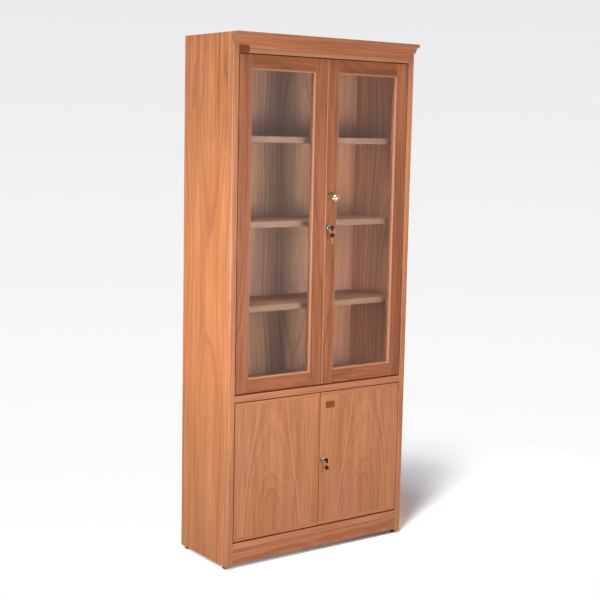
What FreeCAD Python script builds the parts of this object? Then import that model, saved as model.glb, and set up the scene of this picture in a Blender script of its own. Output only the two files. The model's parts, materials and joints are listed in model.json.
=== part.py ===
import FreeCAD, Part
import os

vec = FreeCAD.Vector

# Case, measured over the side panels
case_width = 900.0
case_depth = 350.0
case_height = 2100.0
side_thickness = 28.0
side_lip_depth = 10.0
bottom_thickness = 25.0
divider_thickness = 28.0
top_thickness = 18.0
panel_lip_depth = 14.0
back_thickness = 5.0
back_rebate_width = 8.0
back_play = 0.5
arris_radius = 2.0
side_arris_radius = 4.0

# Base
glide_height = 10.0
glide_diameter = 24.0
glide_inset = 30.0
glide_rim_radius = 2.0
glide_nail_diameter = 4.0
glide_nail_length = 14.0
plinth_lift = 8.0
plinth_height = 62.0
plinth_thickness = 18.0
plinth_setback = 3.0

# Dowels that join the level pieces to the sides
dowel_diameter = 8.0
dowel_length = 36.0
dowel_inset = 40.0

# Head
frieze_height = 59.0
frieze_thickness = 18.0
cornice_height = 37.0
cornice_projection = 34.0
cornice_lip_height = 13.0
cornice_lip_taper = 3.0
cove_top_projection = 22.0
cove_foot_projection = 9.0
cove_hollow = 2.0
cornice_foot_height = 6.0
cornice_foot_projection = 2.0

# Shelves
display_shelf_names = ("bottom_shelf", "middle_shelf", "top_shelf")
shelf_thickness = 25.0
shelf_setback = 75.0
shelf_lip_depth = 8.0
shelf_side_play = 1.0
shelf_back_play = 2.0
shelf_pin_diameter = 5.0
shelf_pin_seat = 10.0
shelf_pin_reach = 9.0
shelf_pin_inset = 40.0

# Doors
door_gap = 3.0
foot_gap = 5.0
meeting_gap = 2.0
door_setback = 1.0
lower_door_height = 562.0
frame_thickness = 26.0
meeting_round = 5.0
stile_width = 61.5
top_rail_height = 57.5
bottom_rail_height = 59.0
tenon_length = 30.0
tenon_thickness = 8.0
tenon_depth = 6.0
tenon_shoulder = 13.0
glass_depth = 13.0
glass_thickness = 4.0
glass_rebate_width = 10.0
glass_play = 1.0
bead_setback = 0.5
bead_radius = 4.0
bead_quirk_radius = 1.5
slab_thickness = 22.0
slab_lip_width = 15.0

# Fits
joint_play = 0.1
pivot_play = 0.05
running_gap = 0.3

# Pivots, measured from each door's hinge edge and front face
pivot_from_edge = 9.0
pivot_from_face = 7.0
pivot_diameter = 5.0
pivot_shank = 10.0
pivot_reach = 12.0
bush_diameter = 8.0
bush_length = 14.0
collar_diameter = 11.0

# Magnetic catches
strike_width = 20.0
strike_height = 12.0
strike_thickness = 1.5
strike_margin = 2.0
catch_depth = 14.0
catch_height = 14.0

# Knob
knob_level = 1471.0
knob_diameter = 35.0
knob_projection = 48.0
rosette_diameter = 25.0
rosette_thickness = 2.5
neck_base_diameter = 15.0
neck_diameter = 11.0
knob_stud_diameter = 4.0
knob_stud_length = 18.0

# Cam locks
upper_lock_level = 1350.0
lower_lock_level = 390.0
lock_from_edge = 14.0
lock_flange_diameter = 22.0
lock_flange_thickness = 12.0
lock_flange_round = 1.5
barrel_diameter = 18.0
barrel_proud = 1.0
nut_flats = 24.0
nut_thickness = 4.0
plug_diameter = 12.0
plug_proud = 0.5
plug_tail_diameter = 8.0
cam_thickness = 2.5
cam_width = 14.0
cam_length = 34.0
cam_screw_diameter = 10.0
cam_screw_thickness = 2.0

# Keys
bow_standoff = 21.0
bow_length = 17.0
bow_height = 20.0
bow_thickness = 5.0
bow_corner_radius = 6.0
bow_hole_diameter = 5.0
bow_hole_inset = 5.0
blade_thickness = 2.0
blade_height = 8.0
blade_seat = 6.0
key_insertion = 16.0
notch_depth = 1.6
notch_pitch = 3.6
notch_count = 4
ring_radius = 11.0
ring_wire_diameter = 1.6

# Levels and planes worked out from the sizes above
inner_half = case_width / 2 - side_thickness
back_face = case_depth - back_thickness
plinth_z = glide_height + plinth_lift
bottom_z = plinth_z + plinth_height
lower_door_z = bottom_z + bottom_thickness + foot_gap
lower_door_top = lower_door_z + lower_door_height
divider_z = lower_door_top + door_gap
divider_top = divider_z + divider_thickness
upper_door_z = divider_top + foot_gap
frieze_z = case_height - frieze_height
top_z = frieze_z - top_thickness
upper_door_top = top_z - door_gap
hinge_edge = inner_half - door_gap
meeting_edge = meeting_gap / 2
frame_back = door_setback + frame_thickness
slab_back = door_setback + slab_thickness
pivot_x = hinge_edge - pivot_from_edge
pivot_y = door_setback + pivot_from_face
lock_x = meeting_edge + lock_from_edge
knob_x = meeting_edge + (stile_width - glass_rebate_width) / 2
bow_front = door_setback - bow_standoff - bow_length
ring_y = bow_front + bow_hole_inset

# The ring's wire lies at the bottom of the hole that it hangs in, clear of the hole's two rims
ring_rim_drop = ring_radius - (ring_radius ** 2 - (bow_thickness / 2) ** 2) ** 0.5
ring_seat = (bow_hole_diameter - ring_wire_diameter) / 2 - running_gap - ring_rim_drop

# The origin is the middle of the footprint, which takes in what stands proud of the case front
front_reach = max(cornice_projection, knob_projection - door_setback, -bow_front, bow_height / 2 - ring_y)
front_y = (front_reach - case_depth) / 2

sides = ((-1, "left"), (1, "right"))


def place(x, y, z):
    """A point, with y measured back from the front plane of the case."""
    return vec(x, front_y + y, z)


def board(xs, ys, zs):
    """A rectangular piece between two planes on each axis."""
    x0, x1 = sorted(xs)
    y0, y1 = sorted(ys)
    z0, z1 = sorted(zs)
    return Part.makeBox(x1 - x0, y1 - y0, z1 - z0, place(x0, y0, z0))


def upright(diameter, x, y, z0, z1):
    """A round bar along Z."""
    low, high = sorted((z0, z1))
    return Part.makeCylinder(diameter / 2, high - low, place(x, y, low))


def forward(diameter, x, z, y0, y1):
    """A round bar along Y."""
    return Part.makeCylinder(diameter / 2, y1 - y0, place(x, y0, z), vec(0, 1, 0))


def straight_edges(shape, axis, **at):
    """Edges along an axis whose middles lie at the given coordinates, with y from the front plane."""
    found = []
    for edge in shape.Edges:
        run = edge.lastVertex().Point - edge.firstVertex().Point
        if run.Length < 1e-6 or abs(getattr(run, axis)) < 0.999 * run.Length:
            continue
        middle = edge.CenterOfMass - vec(0, front_y, 0)
        if all(abs(getattr(middle, name) - value) < 1e-4 for name, value in at.items()):
            found.append(edge)
    return found


def fused(first, *others):
    return first.fuse(list(others)).removeSplitter()


def save(name, *solids):
    shape = solids[0] if len(solids) == 1 else Part.makeCompound(list(solids))
    shape.exportStep("parts/" + name + ".step")


# Shelves stand at even spacing behind the glass, and one halves the cupboard
def shelf_levels():
    bays = len(display_shelf_names) + 1
    clear = (top_z - divider_top - len(display_shelf_names) * shelf_thickness) / bays
    levels = {}
    for number, name in enumerate(display_shelf_names, 1):
        levels[name] = divider_top + number * clear + (number - 1) * shelf_thickness
    cupboard_floor = bottom_z + bottom_thickness
    levels["cupboard_shelf"] = (cupboard_floor + divider_z - shelf_thickness) / 2
    return levels


def shelf_pin_places():
    """Side, depth and level of each shelf pin's axis."""
    depths = (shelf_setback + shelf_pin_inset, back_face - shelf_pin_inset)
    places = []
    for level in shelf_levels().values():
        for side, _ in sides:
            for depth in depths:
                places.append((side, depth, level - shelf_pin_diameter / 2 - joint_play))
    return places


def glide_depths():
    return (glide_inset, case_depth - glide_inset)


# Case
def dowel_places():
    """Depth and level of each dowel's axis, the same at both sides."""
    panel_depths = (panel_lip_depth + dowel_inset, back_face - dowel_inset)
    panel_levels = (bottom_z + bottom_thickness / 2, (divider_z + divider_top) / 2, top_z + top_thickness / 2)
    places = [(depth, level) for level in panel_levels for depth in panel_depths]
    places.append((plinth_setback + plinth_thickness / 2, plinth_z + plinth_height / 2))
    places.append((frieze_thickness / 2, frieze_z + frieze_height / 2))
    return places


def dowels(play):
    """All dowels, half in a side and half in a level piece, or with play added their bores."""
    length = dowel_length + 2 * play
    bars = []
    for side, _ in sides:
        for depth, level in dowel_places():
            start = place(side * inner_half - length / 2, depth, level)
            bars.append(Part.makeCylinder(dowel_diameter / 2 + play, length, start, vec(1, 0, 0)))
    return bars


def side_panel(side):
    outer = case_width / 2
    middle = outer - side_thickness / 2
    zs = (glide_height, case_height)
    panel = board((side * inner_half, side * outer), (side_lip_depth, case_depth), zs)
    rebate_edge = side * (inner_half + back_rebate_width)
    cuts = [board((side * inner_half, rebate_edge), (back_face, case_depth), zs)]
    for pin_side, depth, level in shelf_pin_places():
        if pin_side == side:
            start = place(side * inner_half, depth, level)
            radius = shelf_pin_diameter / 2 + joint_play
            cuts.append(Part.makeCylinder(radius, shelf_pin_seat + joint_play, start, vec(side, 0, 0)))
    nail_bore = glide_nail_diameter + joint_play
    nail_end = glide_height + glide_nail_length + joint_play
    for depth in glide_depths():
        cuts.append(upright(nail_bore, side * middle, depth, glide_height, nail_end))
    return panel.cut(cuts + dowels(joint_play))


def side_lipping(side):
    xs = (side * inner_half, side * case_width / 2)
    strip = board(xs, (0, side_lip_depth), (glide_height, case_height))
    strip = strip.makeFillet(arris_radius, straight_edges(strip, "z", x=xs[0], y=0))
    strip = strip.makeFillet(side_arris_radius, straight_edges(strip, "z", x=xs[1], y=0))
    return strip.cut(dowels(joint_play))


def level_board(ys, zs):
    """A board from side to side, bored for its dowels."""
    return board((-inner_half, inner_half), ys, zs).cut(dowels(joint_play))


def case_panel(z0, z1):
    return level_board((panel_lip_depth, back_face), (z0, z1))


def panel_lipping(z0, z1, pins_below, pins_above):
    """Solid front edge of a panel, bored for the pivots of the doors above and below it."""
    strip = board((-inner_half, inner_half), (0, panel_lip_depth), (z0, z1))
    strip = strip.makeFillet(arris_radius, straight_edges(strip, "x", y=0))
    bore = pivot_diameter + 2 * pivot_play
    cuts = []
    for side, _ in sides:
        if pins_below:
            cuts.append(upright(bore, side * pivot_x, pivot_y, z0, z0 + pivot_shank + joint_play))
        if pins_above:
            cuts.append(upright(bore, side * pivot_x, pivot_y, z1, z1 - pivot_shank - joint_play))
    return strip.cut(cuts)


def frieze_board():
    """Its lower front edge is rounded, so a fine groove shows where it stands on the top panel."""
    frieze = board((-inner_half, inner_half), (0, frieze_thickness), (frieze_z, case_height))
    frieze = frieze.makeFillet(arris_radius, straight_edges(frieze, "x", y=0, z=frieze_z))
    return frieze.cut(dowels(joint_play))


def cornice_moulding():
    """Crown strip: a leaning lip over a shallow cove that runs down to a narrow foot."""
    def at(projection, drop):
        return place(-case_width / 2, -projection, case_height - drop)

    cove_foot_drop = cornice_height - cornice_foot_height
    lip_foot = at(cornice_projection - cornice_lip_taper, cornice_lip_height)
    cove_top = at(cove_top_projection, cornice_lip_height)
    cove_middle = at((cove_top_projection + cove_foot_projection) / 2 - cove_hollow,
                     (cornice_lip_height + cove_foot_drop) / 2)
    cove_foot = at(cove_foot_projection, cove_foot_drop)
    outline = [
        Part.makeLine(at(0, 0), at(cornice_projection, 0)),
        Part.makeLine(at(cornice_projection, 0), lip_foot),
        Part.makeLine(lip_foot, cove_top),
        Part.Arc(cove_top, cove_middle, cove_foot).toShape(),
        Part.makeLine(cove_foot, at(cornice_foot_projection, cornice_height)),
        Part.makeLine(at(cornice_foot_projection, cornice_height), at(0, cornice_height)),
        Part.makeLine(at(0, cornice_height), at(0, 0)),
    ]
    return Part.Face(Part.Wire(outline)).extrude(vec(case_width, 0, 0))


def floor_glide(side, depth):
    x = side * (case_width - side_thickness) / 2
    foot = upright(glide_diameter, x, depth, 0, glide_height)
    rim = [edge for edge in foot.Edges if edge.Closed and abs(edge.CenterOfMass.z) < 1e-6]
    foot = foot.makeFillet(glide_rim_radius, rim)
    return fused(foot, upright(glide_nail_diameter, x, depth, glide_height, glide_height + glide_nail_length))


def shelf(level):
    half = inner_half - shelf_side_play
    ys = (shelf_setback + shelf_lip_depth, back_face - shelf_back_play)
    return board((-half, half), ys, (level, level + shelf_thickness))


def shelf_lipping(level):
    half = inner_half - shelf_side_play
    ys = (shelf_setback, shelf_setback + shelf_lip_depth)
    strip = board((-half, half), ys, (level, level + shelf_thickness))
    return strip.makeFillet(arris_radius, straight_edges(strip, "x", y=shelf_setback))


def shelf_pin(side, depth, level):
    start = place(side * (inner_half + shelf_pin_seat), depth, level)
    length = shelf_pin_seat + shelf_pin_reach
    return Part.makeCylinder(shelf_pin_diameter / 2, length, start, vec(-side, 0, 0))


def magnet_catch(panel_z, door_back):
    half = meeting_edge + strike_margin + strike_width
    y0 = door_back + strike_thickness + running_gap
    return board((-half, half), (y0, y0 + catch_depth), (panel_z - catch_height, panel_z))


# Pivots: a collared pin in the case turns in a flanged bush in the door
def collar_height(panel_z, door_z):
    return (abs(door_z - panel_z) - running_gap) / 2


def pivot_pin(side, panel_z, door_z):
    up = 1 if door_z > panel_z else -1
    x = side * pivot_x
    spindle = upright(pivot_diameter, x, pivot_y, panel_z - up * pivot_shank, door_z + up * pivot_reach)
    collar_end = panel_z + up * collar_height(panel_z, door_z)
    return fused(spindle, upright(collar_diameter, x, pivot_y, panel_z, collar_end))


def pivot_bush(side, panel_z, door_z):
    up = 1 if door_z > panel_z else -1
    x = side * pivot_x
    sleeve = upright(bush_diameter, x, pivot_y, door_z, door_z + up * bush_length)
    flange = upright(collar_diameter, x, pivot_y, door_z, door_z - up * collar_height(panel_z, door_z))
    bore_diameter = pivot_diameter + 2 * pivot_play
    bore = upright(bore_diameter, x, pivot_y, panel_z, door_z + up * bush_length)
    return fused(sleeve, flange).cut(bore)


def bush_bores(side, door_z, door_top):
    diameter = bush_diameter + joint_play
    depth = bush_length + joint_play
    x = side * pivot_x
    return [
        upright(diameter, x, pivot_y, door_z, door_z + depth),
        upright(diameter, x, pivot_y, door_top, door_top - depth),
    ]


upper_pivots = ((divider_top, upper_door_z), (top_z, upper_door_top))
lower_pivots = ((bottom_z + bottom_thickness, lower_door_z), (divider_z, lower_door_top))


def strike_plate(side, door_top, door_back):
    x0 = side * (meeting_edge + strike_margin)
    z1 = door_top - strike_margin
    xs = (x0, x0 + side * strike_width)
    return board(xs, (door_back, door_back + strike_thickness), (z1 - strike_height, z1))


# Upper doors: mortised frames, rebated at the front for the pane and the beads that hold it
pane_inner = meeting_edge + stile_width
pane_outer = hinge_edge - stile_width
pane_z = upper_door_z + bottom_rail_height
pane_top = upper_door_top - top_rail_height


def pane_rebate(side):
    xs = (side * (pane_inner - glass_rebate_width), side * (pane_outer + glass_rebate_width))
    zs = (pane_z - glass_rebate_width, pane_top + glass_rebate_width)
    return board(xs, (0, door_setback + glass_depth + glass_thickness), zs)


def tenon(side, edge_x, outward, z0, z1, play):
    """Tenon of a rail, or with play added its mortise, running outward from a rail's shoulder."""
    xs = (side * edge_x, side * (edge_x + outward * (tenon_length + play)))
    y0 = door_setback + tenon_depth
    zs = (z0 + tenon_shoulder - play, z1 - tenon_shoulder + play)
    return board(xs, (y0 - play, y0 + tenon_thickness + play), zs)


rail_spans = {"bottom_rail": (upper_door_z, pane_z), "top_rail": (pane_top, upper_door_top)}


def door_rail(side, z0, z1, outer_z):
    rail = board((side * pane_inner, side * pane_outer), (door_setback, frame_back), (z0, z1))
    rail = rail.makeFillet(arris_radius, straight_edges(rail, "x", y=door_setback, z=outer_z))
    tenons = (tenon(side, pane_inner, -1, z0, z1, 0), tenon(side, pane_outer, 1, z0, z1, 0))
    return fused(rail, *tenons).cut(pane_rebate(side))


def door_stile(side, outer_x, inner_x, inward, edge_round, extra_cuts):
    """A stile from its outer edge to the rails' shoulder; inward points from it to the pane."""
    xs = (side * outer_x, side * inner_x)
    stile = board(xs, (door_setback, frame_back), (upper_door_z, upper_door_top))
    stile = stile.makeFillet(edge_round, straight_edges(stile, "z", x=side * outer_x, y=door_setback))
    ends = [edge for level in (upper_door_z, upper_door_top)
            for edge in straight_edges(stile, "x", y=door_setback, z=level)]
    stile = stile.makeFillet(arris_radius, ends)
    mortises = [tenon(side, inner_x, -inward, z0, z1, joint_play) for z0, z1 in rail_spans.values()]
    return stile.cut(mortises + [pane_rebate(side)] + extra_cuts)


def glass_pane(side):
    grow = glass_rebate_width - glass_play
    y0 = door_setback + glass_depth
    xs = (side * (pane_inner - grow), side * (pane_outer + grow))
    return board(xs, (y0, y0 + glass_thickness), (pane_z - grow, pane_top + grow))


def glazing_beads(side):
    """Four mitred strips in front of the pane, rounded towards it and quirked along the frame."""
    width = glass_rebate_width
    front = door_setback + bead_setback
    x0, x1 = sorted((side * pane_inner, side * pane_outer))
    sight = [(x0, pane_z), (x1, pane_z), (x1, pane_top), (x0, pane_top)]
    rim = [(x0 - width, pane_z - width), (x1 + width, pane_z - width),
           (x1 + width, pane_top + width), (x0 - width, pane_top + width)]
    beads = []
    for number, axis in enumerate("xzxz"):
        following = (number + 1) % 4
        corners = [sight[number], sight[following], rim[following], rim[number], sight[number]]
        outline = Part.makePolygon([place(x, front, z) for x, z in corners])
        strip = Part.Face(outline).extrude(vec(0, glass_depth - bead_setback, 0))
        for line, radius in ((sight, bead_radius), (rim, bead_quirk_radius)):
            middle_x = (line[number][0] + line[following][0]) / 2
            middle_z = (line[number][1] + line[following][1]) / 2
            strip = strip.makeFillet(radius, straight_edges(strip, axis, x=middle_x, y=front, z=middle_z))
        beads.append(strip)
    return beads


# Lower doors: a veneered panel inside solid lippings, the level ones running right across
def slab_panel(side):
    xs = (side * (meeting_edge + slab_lip_width), side * (hinge_edge - slab_lip_width))
    zs = (lower_door_z + slab_lip_width, lower_door_top - slab_lip_width)
    return board(xs, (door_setback, slab_back), zs)


def slab_lippings(side):
    ys = (door_setback, slab_back)
    strips = []
    for z, upward in ((lower_door_z, 1), (lower_door_top, -1)):
        strip = board((side * meeting_edge, side * hinge_edge), ys, (z, z + upward * slab_lip_width))
        arrises = straight_edges(strip, "x", y=door_setback, z=z)
        arrises += straight_edges(strip, "z", y=door_setback)
        strips.append(strip.makeFillet(arris_radius, arrises))
    zs = (lower_door_z + slab_lip_width, lower_door_top - slab_lip_width)
    for x, inward in ((meeting_edge, 1), (hinge_edge, -1)):
        strip = board((side * x, side * (x + inward * slab_lip_width)), ys, zs)
        strips.append(strip.makeFillet(arris_radius, straight_edges(strip, "z", x=side * x, y=door_setback)))
    return strips


# Knob and locks stand on the right doors
def ball_knob():
    face = door_setback
    ball_y = face - knob_projection + knob_diameter / 2
    rosette = forward(rosette_diameter, knob_x, knob_level, face - rosette_thickness, face)
    neck_length = face - rosette_thickness - ball_y
    neck = Part.makeCone(neck_base_diameter / 2, neck_diameter / 2, neck_length,
                         place(knob_x, face - rosette_thickness, knob_level), vec(0, -1, 0))
    ball = Part.makeSphere(knob_diameter / 2, place(knob_x, ball_y, knob_level))
    stud = forward(knob_stud_diameter, knob_x, knob_level, face, face + knob_stud_length)
    return fused(rosette, neck, ball, stud)


def knob_bore():
    end = door_setback + knob_stud_length + joint_play
    return forward(knob_stud_diameter + joint_play, knob_x, knob_level, door_setback, end)


def lock_bore(level, door_back):
    return forward(barrel_diameter + joint_play, lock_x, level, door_setback, door_back)


def barrel_end(door_back):
    return door_back + nut_thickness + barrel_proud


def lock_barrel(level, door_back):
    """Threaded barrel with its round face flange, and the nut that draws it against the door."""
    face = door_setback - lock_flange_thickness
    flange = forward(lock_flange_diameter, lock_x, level, face, door_setback)
    rim = [edge for edge in flange.Edges if edge.Closed and abs(edge.CenterOfMass.y - front_y - face) < 1e-6]
    flange = flange.makeFillet(lock_flange_round, rim)
    barrel = forward(barrel_diameter, lock_x, level, door_setback, barrel_end(door_back))
    plug_bore = forward(plug_diameter + 2 * pivot_play, lock_x, level, face, barrel_end(door_back))
    nut = lock_nut(level, door_back)
    return fused(flange, barrel).cut(plug_bore), nut


def lock_nut(level, door_back):
    corner = nut_flats / 3 ** 0.5
    turns = [FreeCAD.Rotation(vec(0, 1, 0), 60 * step).multVec(vec(corner, 0, 0)) for step in range(7)]
    outline = Part.makePolygon([place(lock_x, door_back, level) + turn for turn in turns])
    nut = Part.Face(outline).extrude(vec(0, nut_thickness, 0))
    return nut.cut(forward(barrel_diameter + joint_play, lock_x, level, door_back, door_back + nut_thickness))


def key_blade_box(level, y0, y1, play):
    half_width = blade_thickness / 2 + play
    half_height = blade_height / 2 + play
    zs = (level - half_height, level + half_height)
    return board((lock_x - half_width, lock_x + half_width), (y0, y1), zs)


def lock_plug(level, door_back):
    """Turning core with its keyway, stepped down behind for the cam."""
    front = door_setback - lock_flange_thickness - plug_proud
    shoulder = barrel_end(door_back) + running_gap
    core = forward(plug_diameter, lock_x, level, front, shoulder)
    tail = forward(plug_tail_diameter, lock_x, level, shoulder, shoulder + cam_thickness)
    keyway = key_blade_box(level, front, front + key_insertion + joint_play, joint_play)
    return fused(core, tail).cut(keyway)


def lock_cam(level, door_back):
    """Round-ended arm on the plug's tail, hanging down when unlocked, and the screw that holds it."""
    y0 = barrel_end(door_back) + running_gap
    ys = (y0, y0 + cam_thickness)
    reach = cam_length - cam_width / 2
    arm = board((lock_x - cam_width / 2, lock_x + cam_width / 2), ys, (level - reach, level))
    heel = forward(cam_width, lock_x, level, *ys)
    toe = forward(cam_width, lock_x, level - reach, *ys)
    cam = fused(arm, heel, toe).cut(forward(plug_tail_diameter + joint_play, lock_x, level, *ys))
    screw = forward(cam_screw_diameter, lock_x, level, ys[1], ys[1] + cam_screw_thickness)
    return cam, screw


def key_blade(level):
    """Flat blade with a cut row of notches on its upper edge, from inside the bow to its tip in the plug."""
    start = door_setback - bow_standoff - blade_seat
    tip = door_setback - lock_flange_thickness - plug_proud + key_insertion
    blade = key_blade_box(level, start, tip, 0)
    upper = level + blade_height / 2
    cuts = []
    for number in range(1, notch_count + 1):
        y = tip - number * notch_pitch
        corners = [(y - notch_depth, upper), (y, upper - notch_depth), (y + notch_depth, upper)]
        points = [place(lock_x - blade_thickness / 2, depth, z) for depth, z in corners + corners[:1]]
        cuts.append(Part.Face(Part.makePolygon(points)).extrude(vec(blade_thickness, 0, 0)))
    return blade.cut(cuts)


def key_bow(level):
    """Rounded head moulded over the blade, with a ring hole at its far end."""
    back = bow_front + bow_length
    half_width = bow_thickness / 2
    zs = (level - bow_height / 2, level + bow_height / 2)
    bow = board((lock_x - half_width, lock_x + half_width), (bow_front, back), zs)
    bow = bow.makeFillet(bow_corner_radius, straight_edges(bow, "x"))
    hole_start = place(lock_x - half_width, ring_y, level)
    hole = Part.makeCylinder(bow_hole_diameter / 2, bow_thickness, hole_start, vec(1, 0, 0))
    return bow.cut([hole, key_blade_box(level, back - blade_seat - joint_play, back, joint_play)])


def hang_spare(shape, level):
    """Turn a key about its ring hole until its blade points down, then hang it on the ring's lowest point."""
    hung = shape.copy()
    hung.rotate(place(lock_x, ring_y, level), vec(1, 0, 0), -90)
    hung.translate(vec(0, 0, -2 * (ring_radius + ring_seat)))
    return hung


def key_ring(level):
    centre = place(lock_x, ring_y, level - ring_seat - ring_radius)
    return Part.makeTorus(ring_radius, ring_wire_diameter / 2, centre, vec(0, 1, 0))


def build_case():
    for side, name in sides:
        save(name + "_side_panel", side_panel(side))
    save("side_lippings", *[side_lipping(side) for side, _ in sides])
    save("bottom_panel", case_panel(bottom_z, bottom_z + bottom_thickness))
    save("divider_panel", case_panel(divider_z, divider_top))
    save("top_panel", case_panel(top_z, top_z + top_thickness))
    save("panel_lippings",
         panel_lipping(bottom_z, bottom_z + bottom_thickness, False, True),
         panel_lipping(divider_z, divider_top, True, True),
         panel_lipping(top_z, top_z + top_thickness, True, False))
    save("frieze_board", frieze_board())
    save("cornice_moulding", cornice_moulding())
    plinth_ys = (plinth_setback, plinth_setback + plinth_thickness)
    save("plinth_board", level_board(plinth_ys, (plinth_z, bottom_z)))
    save("case_dowels", *dowels(0))
    back_half = inner_half + back_rebate_width - back_play
    save("back_panel", board((-back_half, back_half), (back_face, case_depth), (bottom_z, case_height)))
    save("floor_glides", *[floor_glide(side, depth) for side, _ in sides for depth in glide_depths()])


def build_shelves():
    levels = shelf_levels()
    for name, level in levels.items():
        save(name, shelf(level))
    save("shelf_lippings", *[shelf_lipping(level) for level in levels.values()])
    save("shelf_pins", *[shelf_pin(*pin) for pin in shelf_pin_places()])


def build_door_fittings():
    pivots = upper_pivots + lower_pivots
    save("pivot_pins", *[pivot_pin(side, *levels) for side, _ in sides for levels in pivots])
    save("magnet_catches", magnet_catch(top_z, frame_back), magnet_catch(divider_z, slab_back))
    for side, name in sides:
        for tier, levels in (("upper", upper_pivots), ("lower", lower_pivots)):
            save(tier + "_" + name + "_bushes", *[pivot_bush(side, *level) for level in levels])
        save("upper_" + name + "_strike", strike_plate(side, upper_door_top, frame_back))
        save("lower_" + name + "_strike", strike_plate(side, lower_door_top, slab_back))


def build_upper_door(side, name):
    prefix = "upper_" + name + "_"
    bored = [lock_bore(upper_lock_level, frame_back), knob_bore()] if name == "right" else []
    pivots = bush_bores(side, upper_door_z, upper_door_top)
    meeting_edge_round = meeting_round if name == "right" else arris_radius
    save(prefix + "hinge_stile", door_stile(side, hinge_edge, pane_outer, -1, arris_radius, pivots))
    save(prefix + "meeting_stile", door_stile(side, meeting_edge, pane_inner, 1, meeting_edge_round, bored))
    for rail, (z0, z1) in rail_spans.items():
        outer_z = z0 if rail == "bottom_rail" else z1
        save(prefix + rail, door_rail(side, z0, z1, outer_z))
    save(prefix + "glass", glass_pane(side))
    save(prefix + "beads", *glazing_beads(side))


def build_lower_door(side, name):
    prefix = "lower_" + name + "_"
    cuts = bush_bores(side, lower_door_z, lower_door_top)
    if name == "right":
        cuts.append(lock_bore(lower_lock_level, slab_back))
    save(prefix + "panel", slab_panel(side).cut(cuts))
    save(prefix + "lippings", *[strip.cut(cuts) for strip in slab_lippings(side)])


def build_lock(tier, level, door_back):
    save(tier + "_lock_barrel", *lock_barrel(level, door_back))
    save(tier + "_lock_plug", lock_plug(level, door_back))
    save(tier + "_lock_cam", *lock_cam(level, door_back))
    save(tier + "_key_blade", key_blade(level))
    save(tier + "_key_bow", key_bow(level))
    save(tier + "_spare_key", key_ring(level), hang_spare(key_blade(level), level))
    save(tier + "_spare_bow", hang_spare(key_bow(level), level))


os.makedirs("parts", exist_ok=True)
build_case()
build_shelves()
build_door_fittings()
for door_side, door_name in sides:
    build_upper_door(door_side, door_name)
    build_lower_door(door_side, door_name)
save("knob", ball_knob())
build_lock("upper", upper_lock_level, frame_back)
build_lock("lower", lower_lock_level, slab_back)
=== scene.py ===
import bpy
import bmesh
import json
import math
from mathutils import Matrix, Vector


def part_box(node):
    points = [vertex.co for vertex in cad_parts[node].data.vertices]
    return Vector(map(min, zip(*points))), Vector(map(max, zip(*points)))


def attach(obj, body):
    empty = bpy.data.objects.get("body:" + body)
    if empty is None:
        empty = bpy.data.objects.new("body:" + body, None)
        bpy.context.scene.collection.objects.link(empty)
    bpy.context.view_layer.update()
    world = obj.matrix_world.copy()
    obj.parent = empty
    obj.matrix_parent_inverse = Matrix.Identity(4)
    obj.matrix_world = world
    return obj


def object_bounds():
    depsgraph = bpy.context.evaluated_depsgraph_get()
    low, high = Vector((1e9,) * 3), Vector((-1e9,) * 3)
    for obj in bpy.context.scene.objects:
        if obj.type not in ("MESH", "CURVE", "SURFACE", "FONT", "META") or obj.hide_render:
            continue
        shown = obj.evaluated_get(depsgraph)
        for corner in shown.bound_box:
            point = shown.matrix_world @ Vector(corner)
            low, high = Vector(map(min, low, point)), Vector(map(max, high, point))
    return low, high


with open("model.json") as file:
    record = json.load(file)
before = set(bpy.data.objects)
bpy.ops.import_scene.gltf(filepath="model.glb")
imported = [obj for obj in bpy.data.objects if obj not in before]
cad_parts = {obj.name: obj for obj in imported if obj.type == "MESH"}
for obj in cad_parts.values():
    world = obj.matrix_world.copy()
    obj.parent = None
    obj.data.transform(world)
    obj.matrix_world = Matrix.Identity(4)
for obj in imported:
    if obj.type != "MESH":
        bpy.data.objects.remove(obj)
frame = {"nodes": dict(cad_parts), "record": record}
cadLow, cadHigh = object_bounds()
nodes = frame["nodes"]
scene = bpy.context.scene
scene.view_settings.view_transform = "Standard"
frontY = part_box("side_lippings")[0].y  # front plane of the case
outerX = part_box("right_side_panel")[1].x
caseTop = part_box("left_side_panel")[1].z
print("bookcase frame loaded, front plane at", round(frontY, 4))


# small helpers for node trees
def newMaterial(name):
    material = bpy.data.materials.new(name)
    material.use_nodes = True
    tree = material.node_tree
    return material, tree, tree.nodes["Principled BSDF"]


def plug(tree, value, socket):
    if isinstance(value, bpy.types.NodeSocket):
        tree.links.new(value, socket)
    else:
        socket.default_value = value


def calc(tree, operation, first, second=0.0, third=0.0, clamp=False):
    node = tree.nodes.new("ShaderNodeMath")
    node.operation = operation
    node.use_clamp = clamp
    for value, socket in zip((first, second, third), node.inputs):
        plug(tree, value, socket)
    return node.outputs[0]


def shareBetween(tree, value, start, end):
    return calc(tree, "DIVIDE", calc(tree, "SUBTRACT", value, start), end - start, clamp=True)


def vectorOf(tree, x, y, z):
    node = tree.nodes.new("ShaderNodeCombineXYZ")
    for value, socket in zip((x, y, z), node.inputs):
        plug(tree, value, socket)
    return node.outputs[0]


def splitOf(tree, vector):
    node = tree.nodes.new("ShaderNodeSeparateXYZ")
    tree.links.new(vector, node.inputs[0])
    return node.outputs


def noiseOf(tree, vector, scale=1.0, detail=2.0, roughness=0.5):
    node = tree.nodes.new("ShaderNodeTexNoise")
    plug(tree, vector, node.inputs["Vector"])
    node.inputs["Scale"].default_value = scale
    node.inputs["Detail"].default_value = detail
    node.inputs["Roughness"].default_value = roughness
    return node.outputs["Fac"]


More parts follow.
